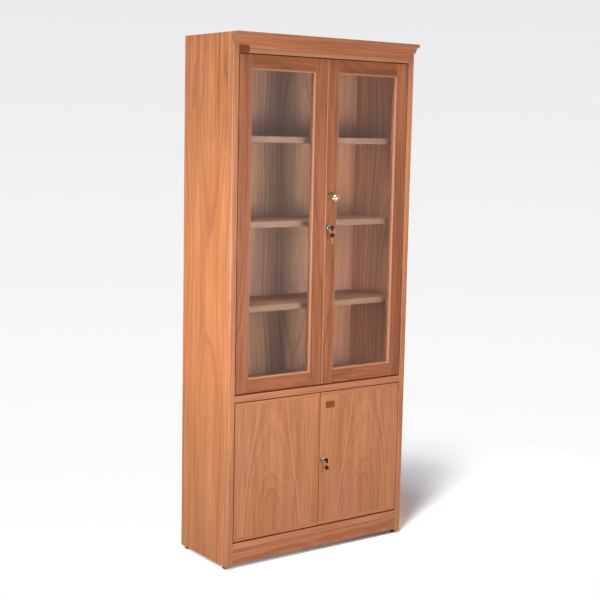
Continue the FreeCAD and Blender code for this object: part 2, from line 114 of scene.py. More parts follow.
def rampOf(tree, value, stops):
    node = tree.nodes.new("ShaderNodeValToRGB")
    tree.links.new(value, node.inputs["Fac"])
    elements = node.color_ramp.elements
    while len(elements) < len(stops):
        elements.new(0.5)
    for element, (place, level) in zip(elements, stops):
        element.position = place
        element.color = (level, level, level, 1.0)
    return node.outputs["Color"]


def mixOf(tree, share, first, second, blend="MIX"):
    node = tree.nodes.new("ShaderNodeMix")
    node.data_type = "RGBA"
    node.blend_type = blend
    plug(tree, share, node.inputs[0])
    plug(tree, first, node.inputs[6])
    plug(tree, second, node.inputs[7])
    return node.outputs[2]


def bumpOf(tree, height, shader, strength, depth):
    node = tree.nodes.new("ShaderNodeBump")
    node.inputs["Strength"].default_value = strength
    node.inputs["Distance"].default_value = depth
    tree.links.new(height, node.inputs["Height"])
    tree.links.new(node.outputs["Normal"], shader.inputs["Normal"])


def blendShaders(tree, share, first, second, output):
    node = tree.nodes.new("ShaderNodeMixShader")
    for value, socket in zip((share, first, second), node.inputs):
        tree.links.new(value, socket)
    tree.links.new(node.outputs[0], tree.nodes[output].inputs["Surface"])


def objectPlace(tree):
    coords = tree.nodes.new("ShaderNodeTexCoord")
    return coords.outputs["Object"]


def linear(red, green, blue):  # from screen values of 0 to 255
    return tuple(((c / 255 + 0.055) / 1.055) ** 2.4 for c in (red, green, blue)) + (1.0,)


def randomOf(tree, value, shift):
    node = tree.nodes.new("ShaderNodeTexWhiteNoise")
    node.noise_dimensions = "1D"
    tree.links.new(calc(tree, "ADD", value, shift), node.inputs["W"])
    return node.outputs["Value"]


# wood finishes: ground colour, late and early wood, pores, then how strongly each shows
sideVeneer = {
    "light": linear(214, 139, 88), "dark": linear(176, 104, 60), "pale": linear(224, 154, 103),
    "pore": linear(118, 60, 32), "ringGap": 0.024, "ringShare": 0.55, "paleShare": 0.34, "streak": 0.50,
    "lines": 0.30, "tone": 0.21, "rough": 0.46, "coat": 0.03,
    "topShadeFigure": {"start": 1.62, "end": 2.02, "tone": 1.14, "streak": 0.40, "flecks": 0.62},  # towards the top: wood figure, and painted shade where the light falls off
}
doorVeneer = {
    "light": linear(203, 134, 93), "dark": linear(160, 94, 58), "pale": linear(219, 154, 112),
    "pore": linear(106, 56, 32), "ringGap": 0.019, "ringShare": 0.34, "paleShare": 0.24, "streak": 0.40,
    "lines": 0.40, "tone": 0.17, "rough": 0.44, "coat": 0.04,
    "paleRing": {"radius": 0.156, "width": 0.004, "share": 0.54},
}
frameWood = {
    "light": linear(175, 107, 72), "dark": linear(126, 69, 40), "pale": linear(182, 117, 80),
    "pore": linear(82, 40, 22), "ringGap": 0.0095, "ringShare": 0.72, "paleShare": 0.44, "streak": 0.60,
    "lines": 0.50, "tone": 0.34, "rough": 0.42, "coat": 0.05,
}
# rails: the stiles' wood painted a shade darker, painted shade on the rails
shadedRailWood = {
    "light": linear(169, 100, 65), "dark": linear(124, 66, 37), "pale": linear(179, 112, 76),
    "pore": linear(80, 38, 22), "ringGap": 0.0095, "ringShare": 0.50, "paleShare": 0.40, "streak": 0.60,
    "lines": 0.50, "tone": 0.32, "rough": 0.42, "coat": 0.05,
}
caseWood = {
    "light": linear(207, 136, 95), "dark": linear(166, 99, 62), "pale": linear(210, 146, 106),
    "pore": linear(102, 52, 30), "ringGap": 0.0105, "ringShare": 0.70, "paleShare": 0.46, "streak": 0.60,
    "lines": 0.48, "tone": 0.28, "rough": 0.44, "coat": 0.04,
}
levelWood = dict(caseWood, light=linear(209, 141, 104), dark=linear(168, 104, 71),
                 pale=linear(212, 151, 115))
headWood = {
    "light": linear(205, 130, 88), "dark": linear(164, 95, 57), "pale": linear(216, 147, 106),
    "pore": linear(106, 54, 32), "ringGap": 0.0105, "ringShare": 0.68, "paleShare": 0.46, "streak": 0.56,
    "lines": 0.44, "tone": 0.26, "rough": 0.44, "coat": 0.04,
}
friezeWood = dict(headWood, light=linear(215, 139, 96), dark=linear(178, 106, 68),
                  pale=linear(224, 156, 116))
# cornice painted darker than the head boards: painted shade on its upward-facing moulding
shadedCorniceWood = dict(headWood, light=linear(190, 121, 83), dark=linear(152, 88, 53),
                   pale=linear(201, 137, 99))
stripWood = {"ringGap": 0.006, "ringShare": 0.40, "paleShare": 0.30, "streak": 0.25, "lines": 0.20}
# bead edges towards the pane painted paler than the bead fronts: painted highlight where they catch the
# light
beadEdgeHighlightWood = dict(stripWood, light=linear(206, 150, 118), dark=linear(182, 124, 90),
                pale=linear(216, 166, 136), pore=linear(130, 82, 56), tone=0.06, rough=0.38, coat=0.06)
beadWood = dict(stripWood, light=linear(170, 111, 79), dark=linear(140, 84, 55),
                pale=linear(182, 124, 92), pore=linear(88, 44, 26), tone=0.06, rough=0.42, coat=0.05)
# rounded arrises painted paler: painted highlight where the edges catch the light
arrisHighlightWood = dict(stripWood, light=linear(201, 142, 104), dark=linear(178, 118, 80),
                 pale=linear(211, 157, 118), pore=linear(130, 80, 50), tone=0.10, rough=0.40, coat=0.05)
edgeWood = dict(stripWood, light=linear(134, 98, 77), dark=linear(116, 82, 62),
                pale=linear(146, 110, 90), pore=linear(92, 62, 45), tone=0.08, rough=0.50, coat=0.0)
# faces towards the door gaps: painted darker and redder, painted shade inside the gaps, and dull as
# unlacquered edges
gapShadeWood = dict(stripWood, light=linear(176, 80, 30), dark=linear(146, 60, 20), pale=linear(186, 94, 44),
               pore=linear(90, 36, 14), ringGap=0.008, tone=0.12, rough=0.60, coat=0.0, specular=0.08)
# inside the case: the same veneer painted darker, painted shade in the cabinet's interior
shadedInnerVeneer = {
    "light": linear(165, 115, 84), "dark": linear(104, 64, 42), "pale": linear(186, 134, 102),
    "pore": linear(74, 43, 28), "ringGap": 0.021, "ringShare": 0.34, "paleShare": 0.24, "streak": 0.22,
    "lines": 0.06, "tone": 0.22, "rough": 0.55, "coat": 0.0,
}
# back: its right-hand end painted lighter and warmer, painted light in the right-hand bay
backVeneer = dict(shadedInnerVeneer, light=linear(163, 117, 88), dark=linear(98, 63, 43),
                  pale=linear(186, 138, 108), ringShare=0.52, paleShare=0.40, streak=0.30, lines=0.18,
                  paintedLightTint={"start": 0.17, "end": 0.33, "tint": (1.26, 1.13, 1.04, 1.0)})
# flank: painted lighter towards the back, painted light beyond the hinge stile's shadow
flankVeneer = dict(shadedInnerVeneer, light=linear(183, 118, 76), dark=linear(106, 60, 34),
                   pale=linear(204, 136, 94), ringShare=0.58, paleShare=0.42, streak=0.36, lines=0.20,
                   paintedLightTint={"start": -0.04, "end": 0.10, "tint": (1.24, 1.34, 1.32, 1.0)})

# layers of the grain: changes per metre across and along the board, and the noise's detail
grainLayers = {
    "slow": {"across": 3.4, "along": 1.4, "detail": 2.0},
    "kink": {"across": 20.0, "along": 8.0, "detail": 2.0},
    "tone": {"across": 9.0, "along": 2.2, "detail": 2.0},
    "fibre": {"across": 420.0, "along": 5.0, "detail": 4.0, "roughness": 0.6},
    "streak": {"across": 44.0, "along": 1.5, "detail": 3.0, "stops": ((0.38, 0.0), (0.68, 1.0))},
    "line": {"across": 165.0, "along": 5.5, "detail": 2.0, "stops": ((0.50, 0.0), (0.66, 1.0))},
    "fleck": {"across": 46.0, "along": 5.0, "detail": 2.0, "stops": ((0.54, 0.0), (0.66, 1.0))},
    "pore": {"across": 1100.0, "along": 26.0, "detail": 1.0, "stops": ((0.60, 0.0), (0.74, 1.0))},
    "blush": {"across": 11.0, "along": 2.6, "detail": 2.0, "stops": ((0.35, 0.0), (0.65, 1.0))},
}
grain = {
    "wander": 0.036, "kink": 0.006, "fibreShare": 0.10, "poreShare": 0.34, "fibreRise": 0.5,
    "lateStops": ((0.0, 0.0), (0.45, 0.30), (0.78, 1.0), (1.0, 0.0)), "lateSeed": 0.3, "latePower": 1.6,
    "lateLeast": 0.15, "earlyStops": ((0.0, 0.0), (0.15, 1.0), (0.45, 0.0)), "earlySeed": 7.3,
    "earlyPower": 2.5, "blushPink": (1.0, 0.985, 1.07, 1.0), "blushAmber": (1.0, 1.012, 0.90, 1.0),
    "tonePowers": (1.0, 1.12, 1.25), "fibreRough": 0.12, "poreRough": 0.18, "coatRough": 0.22,
    "specular": 0.35, "bump": 0.25, "bumpDepth": 0.0002,
}
straight = (0.0, 1.0, 0.0)  # size, length and peak for rings that do not swell


def layerMaker(tree, along, across, deep):
    def layer(kind):
        look = grainLayers[kind]
        place = vectorOf(tree, calc(tree, "MULTIPLY", across, look["across"]),
                         calc(tree, "MULTIPLY", deep, look["across"]),
                         calc(tree, "MULTIPLY", along, look["along"]))
        noise = noiseOf(tree, place, 1.0, look["detail"], look.get("roughness", 0.5))
        return rampOf(tree, noise, look["stops"]) if "stops" in look else noise
    return layer


# distance from the pith line, which wanders and swells along the board
def pithDistance(tree, layer, board, along, across, deep):
    wander = calc(tree, "MULTIPLY_ADD", layer("slow"), 2 * grain["wander"], -grain["wander"])
    kink = calc(tree, "MULTIPLY_ADD", layer("kink"), 2 * grain["kink"], -grain["kink"])
    wander = calc(tree, "ADD", wander, kink)
    pithAcross, pithDeep = board["pith"]
    waveSize, waveLength, wavePeak = board.get("wave", straight)
    turn = calc(tree, "MULTIPLY", calc(tree, "SUBTRACT", along, wavePeak), 2 * math.pi / waveLength)
    climb = calc(tree, "MULTIPLY", along, board.get("rise", 0.0))
    swell = calc(tree, "MULTIPLY_ADD", calc(tree, "COSINE", turn), waveSize, climb)
    aside = calc(tree, "ADD", calc(tree, "SUBTRACT", across, pithAcross), wander)
    below = calc(tree, "ADD", calc(tree, "SUBTRACT", deep, pithDeep), calc(tree, "ADD", swell, wander))
    belowSquared = calc(tree, "MULTIPLY", below, below)
    return calc(tree, "SQRT", calc(tree, "MULTIPLY_ADD", aside, aside, belowSquared))


# late wood darkens each ring and early wood pales it, by a share of its own for each year
def growthRings(tree, radius, wood):
    years = calc(tree, "DIVIDE", radius, wood["ringGap"])
    season = calc(tree, "FRACT", years)
    year = calc(tree, "FLOOR", years)
    late = rampOf(tree, season, grain["lateStops"])
    early = rampOf(tree, season, grain["earlyStops"])
    lateShare = calc(tree, "POWER", randomOf(tree, year, grain["lateSeed"]), grain["latePower"])
    lateShare = calc(tree, "MULTIPLY_ADD", lateShare, 1.0 - grain["lateLeast"], grain["lateLeast"])
    earlyShare = calc(tree, "POWER", randomOf(tree, year, grain["earlySeed"]), grain["earlyPower"])
    dark = calc(tree, "MULTIPLY", calc(tree, "MULTIPLY", late, lateShare), wood["ringShare"])
    pale = calc(tree, "MULTIPLY", calc(tree, "MULTIPLY", early, earlyShare), wood["paleShare"])
    if "paleRing" in wood:
        ring = wood["paleRing"]
        offset = calc(tree, "ABSOLUTE", calc(tree, "SUBTRACT", radius, ring["radius"]))
        line = calc(tree, "SUBTRACT", 1.0, calc(tree, "DIVIDE", offset, ring["width"]), clamp=True)
        pale = calc(tree, "MAXIMUM", pale, calc(tree, "MULTIPLY", line, ring["share"]))
    return dark, pale


# lacquered hardwood: rings about a pith behind the face, with streaks, fibre and pores
def makeWood(name, wood, board):
    material, tree, shader = newMaterial(name)
    split = splitOf(tree, objectPlace(tree))
    depthAxis = ({"X", "Y", "Z"} - {board["along"], board["across"]}).pop()
    along, across, deep = (split[axis] for axis in (board["along"], board["across"], depthAxis))
    if board.get("mirrored"):
        across = calc(tree, "MULTIPLY", across, -1.0)
    layer = layerMaker(tree, calc(tree, "ADD", along, board["seed"]), across, deep)
    radius = pithDistance(tree, layer, board, along, across, deep)
    dark, pale = growthRings(tree, radius, wood)
    fibre, pores = layer("fibre"), layer("pore")
    leastTone = 1.0 - wood["tone"] - grain["fibreShare"] / 2
    tone = calc(tree, "MULTIPLY_ADD", layer("tone"), 2 * wood["tone"], leastTone)
    tone = calc(tree, "MULTIPLY_ADD", fibre, grain["fibreShare"], tone)
    streakShare = wood["streak"]
    # towards the top the streaks and pore-coloured flecks grow and the ground tone lifts: wood figure, and
    # painted shade where the light falls off at the top
    if "topShadeFigure" in wood:
        topShade = wood["topShadeFigure"]
        height = shareBetween(tree, along, topShade["start"], topShade["end"])
        tone = calc(tree, "MULTIPLY", tone, calc(tree, "MULTIPLY_ADD", height, topShade["tone"] - 1.0, 1.0))
        streakShare = calc(tree, "MULTIPLY_ADD", height, topShade["streak"], streakShare)
        flecks = calc(tree, "MULTIPLY", layer("fleck"), calc(tree, "MULTIPLY", height, topShade["flecks"]))
    colour = mixOf(tree, dark, wood["light"], wood["dark"])
    colour = mixOf(tree, calc(tree, "MULTIPLY", layer("streak"), streakShare), colour, wood["dark"])
    colour = mixOf(tree, calc(tree, "MULTIPLY", layer("line"), wood["lines"]), colour, wood["dark"])
    colour = mixOf(tree, pale, colour, wood["pale"])
    colour = mixOf(tree, calc(tree, "MULTIPLY", pores, grain["poreShare"]), colour, wood["pore"])
    if "topShadeFigure" in wood:
        colour = mixOf(tree, flecks, colour, wood["pore"])
    # painted light: a lighter tint across part of the board
    if "paintedLightTint" in wood:
        edge = wood["paintedLightTint"]
        paintedLightShare = shareBetween(tree, across, edge["start"], edge["end"])
        colour = mixOf(tree, paintedLightShare, colour, edge["tint"], "MULTIPLY")
    blush = mixOf(tree, layer("blush"), grain["blushPink"], grain["blushAmber"])
    colour = mixOf(tree, 1.0, colour, blush, "MULTIPLY")
    tones = [calc(tree, "POWER", tone, power) for power in grain["tonePowers"]]  # darker wood is redder
    colour = mixOf(tree, 1.0, colour, vectorOf(tree, *tones), "MULTIPLY")
    tree.links.new(colour, shader.inputs["Base Color"])
    rough = calc(tree, "MULTIPLY_ADD", fibre, grain["fibreRough"], wood["rough"] - grain["fibreRough"] / 2)
    rough = calc(tree, "MULTIPLY_ADD", pores, grain["poreRough"], rough)
    tree.links.new(rough, shader.inputs["Roughness"])
    shader.inputs["Specular IOR Level"].default_value = wood.get("specular", grain["specular"])
    shader.inputs["Coat Weight"].default_value = wood["coat"]
    shader.inputs["Coat Roughness"].default_value = grain["coatRough"]
    relief = calc(tree, "SUBTRACT", calc(tree, "MULTIPLY", fibre, grain["fibreRise"]), pores)
    bumpOf(tree, relief, shader, grain["bump"], grain["bumpDepth"])
    return material


def dress(name, material):
    node = nodes[name]
    node.data.materials.clear()
    node.data.materials.append(material)


def dressFaces(name, materials, pick):
    data = nodes[name].data
    data.materials.clear()
    for material in materials:
        data.materials.append(material)
    for face in data.polygons:
        face.material_index = pick(face)


# case boards: pith across the board and in depth, and the size, length and peak of the rings' swell
boards = {
    "leftSide": {"along": "Z", "across": "Y", "pith": (frontY + 0.150, -outerX - 0.035),
                 "wave": (0.070, 2.3, 1.16), "seed": 0.7},
    "rightSide": {"along": "Z", "across": "Y", "pith": (frontY + 0.190, outerX + 0.035),
                  "wave": (-0.055, 2.0, 0.95), "seed": 5.3},
    "sideInside": {"along": "Z", "across": "Y", "pith": (frontY + 0.10, outerX + 0.05),
                   "wave": (0.05, 1.9, 0.8), "seed": 13.5},
    "back": {"along": "Z", "across": "X", "pith": (0.1, frontY + 0.30),
             "wave": (0.05, 1.7, 0.6), "seed": 21.4},
    "lipUpright": {"along": "Z", "across": "X", "pith": (0.05, frontY + 0.30), "rise": 0.01, "seed": 2.1},
    "lipLevel": {"along": "X", "across": "Z", "pith": (1.2, frontY + 0.32), "rise": 0.02, "seed": 3.7},
    "litTopLip": {"along": "X", "across": "Z", "pith": (1.2, frontY + 0.32), "rise": 0.02, "seed": 3.9},
    "shelfLip": {"along": "X", "across": "Z", "pith": (1.1, frontY + 0.40), "rise": 0.02, "seed": 8.8},
    "gapShadeUpright": {"along": "Z", "across": "Y", "pith": (frontY - 0.2, 0.6), "seed": 81.0},
    "gapShadeLevel": {"along": "X", "across": "Y", "pith": (frontY - 0.2, 0.6), "seed": 83.0},
    "frieze": {"along": "X", "across": "Z", "pith": (caseTop + 0.04, frontY + 0.12),
               "rise": 0.03, "seed": 4.4},
    "cornice": {"along": "X", "across": "Z", "pith": (caseTop - 0.2, frontY + 0.10),
                "rise": 0.02, "seed": 6.2},
    "plinth": {"along": "X", "across": "Z", "pith": (0.02, frontY + 0.08), "rise": 0.035, "seed": 9.1},
}
levelBoards = {
    "panelVeneer": {"names": ("top_panel", "divider_panel", "bottom_panel"), "inset": 0.20, "sink": 0.05,
                    "rises": (0.03, 0.03, 0.03), "seed": 1.3, "seedStep": 1.0},
    "shelfVeneer": {"names": ("bottom_shelf", "middle_shelf", "top_shelf", "cupboard_shelf"), "inset": 0.22,
                    "sink": 0.06, "rises": (0.04, -0.04, 0.04, -0.04), "seed": 11.9, "seedStep": 2.3},
}
turns = {"arris": 0.2, "level": 0.7, "rim": 0.3, "highlitEdge": 0.3, "beadFront": 0.85}  # limits for face normals
reaches = {"inside": 0.001, "rim": 0.001, "highlitEdge": 0.006}  # metres from an edge

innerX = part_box("divider_panel")[1].x
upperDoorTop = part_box("upper_left_top_rail")[1].z
lipUpright = makeWood("caseLippingUpright", caseWood, boards["lipUpright"])
lipLevel = makeWood("caseLippingLevel", levelWood, boards["lipLevel"])
lipArrisHighlight = makeWood("caseArrisHighlight", arrisHighlightWood, boards["lipUpright"])
# front of the top panel lipping in the pale arris wood: painted light on the band below the frieze
litTopLip = makeWood("topLippingLevel", arrisHighlightWood, boards["litTopLip"])
gapShadeUpright = makeWood("gapEdgeUpright", gapShadeWood, boards["gapShadeUpright"])
gapShadeLevel = makeWood("gapEdgeLevel", gapShadeWood, boards["gapShadeLevel"])
sideInside = makeWood("sideInsideVeneer", flankVeneer, boards["sideInside"])


def isInside(face):
    return int(abs(face.center.x) < innerX + reaches["inside"])


def isArris(face):
    return int(abs(face.normal.x) > turns["arris"] and face.normal.y < -turns["arris"])


def panelLipPart(face):  # 0 front, 1 face towards a door's gap in painted gap shade, 2 front of the top panel painted lighter
    if abs(face.normal.z) > turns["level"]:
        return 1
    return 2 * int(face.center.z > upperDoorTop)


for side in ("left", "right"):
    outside = makeWood(side + "SideVeneer", sideVeneer, boards[side + "Side"])
    dressFaces(side + "_side_panel", (outside, sideInside), isInside)
dressFaces("side_lippings", (lipUpright, lipArrisHighlight), isArris)
dressFaces("panel_lippings", (lipLevel, gapShadeLevel, litTopLip), panelLipPart)
dress("shelf_lippings", makeWood("shelfLipping", edgeWood, boards["shelfLip"]))
dress("frieze_board", makeWood("friezeWood", friezeWood, boards["frieze"]))
dress("cornice_moulding", makeWood("shadedCorniceWood", shadedCorniceWood, boards["cornice"]))
dress("plinth_board", makeWood("plinthWood", headWood, boards["plinth"]))
dress("back_panel", makeWood("backVeneer", backVeneer, boards["back"]))
dress("case_dowels", lipLevel)
for finish, look in levelBoards.items():
    for order, name in enumerate(look["names"]):
        pith = (frontY + look["inset"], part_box(name)[1].z - look["sink"])
        board = {"along": "X", "across": "Y", "pith": pith, "rise": look["rises"][order],
                 "seed": look["seed"] + look["seedStep"] * order}
        dress(name, makeWood(finish + str(order), shadedInnerVeneer, board))
print("case boards dressed")

# doors, with the pith placed from each piece's own box
stileGrain = {"aside": 0.06, "behind": 0.16, "rises": (0.02, -0.02), "seed": 31.0, "seedStep": 3.0}
railGrain = {"above": 0.05, "behind": 0.15, "rise": 0.05, "seed": 41.0, "seedStep": 2.0}
beadGrain = {"before": 0.2, "behind": 0.3, "uprightSeed": 51.0, "levelSeed": 53.0}
slabGrain = {"pithX": 0.223, "behind": 0.08, "wave": (-0.05, 1.2, 0.66), "seed": 61.0}
slabLipGrain = {"below": 0.3, "behind": 0.4, "uprightSeed": 71.0, "levelSeed": 73.0}


# faces round a leaf's outline, towards the gaps, take the painted gap shade
def isRim(face, low, high):
    spot = face.center
    reach = min(abs(spot.x - low.x), abs(high.x - spot.x), abs(spot.z - low.z), abs(high.z - spot.z))
    return int(reach < reaches["rim"] and abs(face.normal.y) < turns["rim"])


def isHighlitEdge(face, low):
    return int(face.normal.x < -turns["highlitEdge"] and face.center.x < low.x + reaches["highlitEdge"])


def dressFrame(upper, sign):
    stiles = ("hinge_stile", "meeting_stile")
    boxes = [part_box(upper + stile) for stile in stiles]
    leafLow = Vector(min(box[0][axis] for box in boxes) for axis in range(3))
    leafHigh = Vector(max(box[1][axis] for box in boxes) for axis in range(3))
    for order, (stile, (low, high)) in enumerate(zip(stiles, boxes)):
        pith = ((low.x + high.x) / 2 + stileGrain["aside"] * sign, frontY + stileGrain["behind"])
        board = {"along": "Z", "across": "X", "pith": pith, "rise": stileGrain["rises"][order],
                 "seed": stileGrain["seed"] + sign + stileGrain["seedStep"] * order}
        wood = makeWood(upper + stile + "Wood", frameWood, board)
        overlaps = upper + stile == "upper_right_meeting_stile"  # its meeting edge is painted pale, a painted highlight
        dressFaces(upper + stile, (wood, gapShadeUpright, lipArrisHighlight),
                   lambda face: 2 * isHighlitEdge(face, low) if overlaps else isRim(face, leafLow, leafHigh))
    for order, rail in enumerate(("top_rail", "bottom_rail")):
        low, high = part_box(upper + rail)
        pith = ((low.z + high.z) / 2 + railGrain["above"], frontY + railGrain["behind"])
        board = {"along": "X", "across": "Z", "pith": pith, "rise": railGrain["rise"],
                 "seed": railGrain["seed"] + sign + railGrain["seedStep"] * order}
        wood = makeWood(upper + rail + "Wood", shadedRailWood, board)
        dressFaces(upper + rail, (wood, gapShadeLevel), lambda face: isRim(face, leafLow, leafHigh))


def dressBeads(upper, sign):
    low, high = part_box(upper + "beads")
    middle = (low + high) / 2
    behind = frontY + beadGrain["behind"]
    upright = {"along": "Z", "across": "X", "pith": (low.x - beadGrain["before"], behind),
               "seed": beadGrain["uprightSeed"] + sign}
    level = {"along": "X", "across": "Z", "pith": (low.z - beadGrain["before"], behind),
             "seed": beadGrain["levelSeed"] + sign}
    materials = []
    for finish, wood in (("Front", beadWood), ("Edge", beadEdgeHighlightWood)):
        materials.append(makeWood(upper + "beadUpright" + finish, wood, upright))
        materials.append(makeWood(upper + "beadLevel" + finish, wood, level))

    def beadPart(face):
        spot, normal = face.center, face.normal
        isLevel = min(spot.z - low.z, high.z - spot.z) < min(spot.x - low.x, high.x - spot.x)
        inward = normal.z * (middle.z - spot.z) if isLevel else normal.x * (middle.x - spot.x)
        isEdge = inward > 0 and abs(normal.y) < turns["beadFront"]
        return 2 * int(isEdge) + int(isLevel)

    dressFaces(upper + "beads", materials, beadPart)


def dressSlab(lower, sign):
    low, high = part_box(lower + "panel")
    outLow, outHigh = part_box(lower + "lippings")
    behind = frontY + slabLipGrain["behind"]
    panel = {"along": "Z", "across": "X", "pith": (slabGrain["pithX"], frontY + slabGrain["behind"]),
             "wave": slabGrain["wave"], "seed": slabGrain["seed"], "mirrored": sign < 0}
    upright = {"along": "Z", "across": "X", "pith": ((low.x + high.x) / 2, behind),
               "seed": slabLipGrain["uprightSeed"] + sign}
    level = {"along": "X", "across": "Z", "pith": (low.z - slabLipGrain["below"], behind),
             "seed": slabLipGrain["levelSeed"] + sign}
    dress(lower + "panel", makeWood(lower + "panelVeneer", doorVeneer, panel))
    lipUp = makeWood(lower + "lippingUpright", doorVeneer, upright)
    lipAcross = makeWood(lower + "lippingLevel", doorVeneer, level)
    dressFaces(lower + "lippings", (lipUp, lipAcross, gapShadeUpright, gapShadeLevel),
               lambda face: int(not low.z < face.center.z < high.z) + 2 * isRim(face, outLow, outHigh))


for side, sign in (("left", -1), ("right", 1)):
    dressFrame("upper_" + side + "_", sign)
    dressBeads("upper_" + side + "_", sign)
    dressSlab("lower_" + side + "_", sign)
print("doors dressed")

# glass, metals and plastics
paneGlass = {"tint": (0.97, 0.98, 0.975, 1.0), "ior": 1.47, "shadow": (0.94, 0.95, 0.94, 1.0)}
metalSkin = {"detail": 3.0, "roughness": 0.6, "scratchRate": 6.0, "bump": 0.06, "bumpDepth": 0.0001}
plasticSkin = {"mottleScale": 90.0, "gritScale": 2600.0, "gritRough": 0.15, "bump": 0.2,
               "bumpDepth": 0.00008}
metals = {
    "paleBrass": {"colour": (0.74, 0.60, 0.41, 1.0), "dull": (0.56, 0.43, 0.27, 1.0), "wearScale": 60.0,
                  "rough": 0.23, "roughSpan": 0.12},
    "chromePlate": {"colour": (0.62, 0.58, 0.55, 1.0), "dull": (0.46, 0.42, 0.39, 1.0), "wearScale": 80.0,
                    "rough": 0.14, "roughSpan": 0.14},
    "zincPlate": {"colour": (0.66, 0.65, 0.62, 1.0), "dull": (0.50, 0.49, 0.46, 1.0), "wearScale": 120.0,
                  "rough": 0.30, "roughSpan": 0.20},
    "blackenedSteel": {"colour": (0.09, 0.085, 0.08, 1.0), "dull": (0.05, 0.048, 0.045, 1.0),
                       "wearScale": 120.0, "rough": 0.40, "roughSpan": 0.20},
    "wornKeyBlade": {"colour": (0.66, 0.53, 0.44, 1.0), "dull": (0.52, 0.41, 0.33, 1.0), "wearScale": 150.0,
                     "rough": 0.42, "roughSpan": 0.20},
}
plastics = {
    "darkNylonAndSlotShade": {"colour": (0.030, 0.022, 0.018, 1.0), "pale": (0.050, 0.038, 0.032, 1.0), "rough": 0.45,
                  "specular": 0.25},
    "brownNylon": {"colour": linear(96, 56, 36), "pale": linear(112, 68, 46), "rough": 0.5,
                   "specular": 0.2},
    "blackKeyHead": {"colour": (0.012, 0.006, 0.004, 1.0), "pale": (0.018, 0.010, 0.007, 1.0),
                     "rough": 0.45, "specular": 0.12},
    "brownKeyHead": {"colour": (0.060, 0.009, 0.003, 1.0), "pale": (0.080, 0.014, 0.005, 1.0),
                     "rough": 0.45, "specular": 0.10},
    "barePlateBrown": {"colour": linear(130, 66, 34), "pale": linear(146, 80, 46), "rough": 0.5,
                       "specular": 0.2},
}


def makeGlass(name):
    material, tree, shader = newMaterial(name)
    shader.inputs["Base Color"].default_value = paneGlass["tint"]
    shader.inputs["Transmission Weight"].default_value = 1.0
    shader.inputs["IOR"].default_value = paneGlass["ior"]
    shader.inputs["Roughness"].default_value = 0.0
    clear = tree.nodes.new("ShaderNodeBsdfTransparent")
    clear.inputs["Color"].default_value = paneGlass["shadow"]
    shadow = tree.nodes.new("ShaderNodeLightPath").outputs["Is Shadow Ray"]  # light falls through the pane
    blendShaders(tree, shadow, shader.outputs[0], clear.outputs[0], "Material Output")
    return material


def makeMetal(name):
    metal = metals[name]
    material, tree, shader = newMaterial(name)
    place = objectPlace(tree)
    wear = noiseOf(tree, place, metal["wearScale"], metalSkin["detail"], metalSkin["roughness"])
    scratch = noiseOf(tree, place, metal["wearScale"] * metalSkin["scratchRate"])
    tree.links.new(mixOf(tree, wear, metal["colour"], metal["dull"]), shader.inputs["Base Color"])
    rough = calc(tree, "MULTIPLY_ADD", wear, metal["roughSpan"], metal["rough"])
    tree.links.new(rough, shader.inputs["Roughness"])
    shader.inputs["Metallic"].default_value = 1.0
    bumpOf(tree, scratch, shader, metalSkin["bump"], metalSkin["bumpDepth"])
    return material


def makePlastic(name):
    plastic = plastics[name]
    material, tree, shader = newMaterial(name)
    place = objectPlace(tree)
    mottle = noiseOf(tree, place, plasticSkin["mottleScale"])
    grit = noiseOf(tree, place, plasticSkin["gritScale"])
    tree.links.new(mixOf(tree, mottle, plastic["colour"], plastic["pale"]), shader.inputs["Base Color"])
    rough = calc(tree, "MULTIPLY_ADD", grit, plasticSkin["gritRough"], plastic["rough"])
    tree.links.new(rough, shader.inputs["Roughness"])
    shader.inputs["Specular IOR Level"].default_value = plastic["specular"]
    bumpOf(tree, grit, shader, plasticSkin["bump"], plasticSkin["bumpDepth"])
    return material


plated = makeMetal("zincPlate")
darkPlasticAndSlotShade = makePlastic("darkNylonAndSlotShade")
slotFinish = {
    "glass": makeGlass("clearGlass"), "brass": makeMetal("paleBrass"), "chrome": makeMetal("chromePlate"),
    "plated_steel": plated, "dark_steel": makeMetal("blackenedSteel"), "dark_plastic": darkPlasticAndSlotShade,
    "black_bow": makePlastic("blackKeyHead"), "brown_bow": makePlastic("brownKeyHead"),
}
for subpart in frame["record"]["subparts"]:
    if subpart["material_slot"] in slotFinish:
        dress(subpart["node"], slotFinish[subpart["material_slot"]])
dress("floor_glides", makePlastic("brownNylon"))
wornBlade = makeMetal("wornKeyBlade")
for tier in ("upper", "lower"):
    dress(tier + "_spare_key", wornBlade)
print("glass and fittings dressed")

# small bare plates on the frieze and the right lower door
plate = {"width": 0.046, "height": 0.028, "thick": 0.0016, "corner": 0.006, "cornerSteps": 6, "edge": 0.4,
         "rim": 0.0022, "sink": 0.0005, "friezeSpot": (-0.399, 2.038), "doorSpot": (0.050, 0.618)}
plateFinish = makePlastic("barePlateBrown")


def addPiece(name, mesh, materials, body):
    bmesh.ops.recalc_face_normals(mesh, faces=mesh.faces)
    data = bpy.data.meshes.new(name)
    mesh.to_mesh(data)
    mesh.free()
    piece = bpy.data.objects.new(name, data)
    scene.collection.objects.link(piece)
    for material in materials:
        data.materials.append(material)
    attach(piece, body)


def joinRings(mesh, rings):
    for near, far in zip(rings, rings[1:]):
        for step in range(len(near)):
            following = (step + 1) % len(near)
            mesh.faces.new((near[step], near[following], far[following], far[step]))
    mesh.faces.new(rings[-1])
    mesh.faces.new(list(reversed(rings[0])))


def roundedOutline(width, height, corner):
    points = []
    steps = plate["cornerSteps"]
    for turn, (sx, sz) in enumerate(((1, 1), (-1, 1), (-1, -1), (1, -1))):
        for step in range(steps + 1):
            angle = math.radians(90 * turn + 90 * step / steps)
            points.append((sx * (width / 2 - corner) + corner * math.cos(angle),
                           sz * (height / 2 - corner) + corner * math.sin(angle)))
    return points


